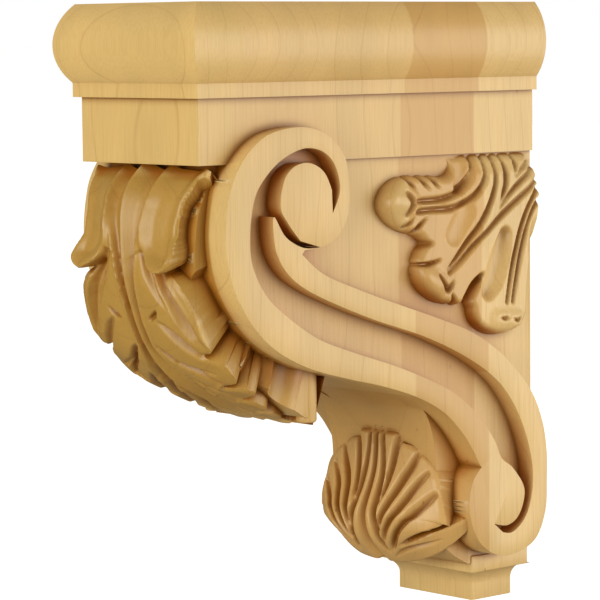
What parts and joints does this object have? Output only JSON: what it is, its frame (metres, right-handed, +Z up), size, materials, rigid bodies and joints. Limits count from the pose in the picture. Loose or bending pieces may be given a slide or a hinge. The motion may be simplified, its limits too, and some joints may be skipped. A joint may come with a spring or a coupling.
{
  "type": "carved corbel bracket",
  "caption": "Carved wooden bracket for a wall: a moulded block on a body with a channelled scroll each side, a long leaf down the front and a fan of leaves over a stepped foot.",
  "frame": {"origin": "middle of the top edge of the back face, where the wall meets the shelf or mantel that it carries", "axes": "+X across the width, +Y into the wall, +Z up; the front faces -Y"},
  "size_m": [0.114, 0.2554, 0.33],
  "materials": {
    "wood": "fine-sanded bare light hardwood, vertical grain, glued up from boards of slightly different tone; warm orange-brown in the deep cuts"
  },
  "bodies": {
    "root": {"corbel": "wood"}
  },
  "joints": []
}
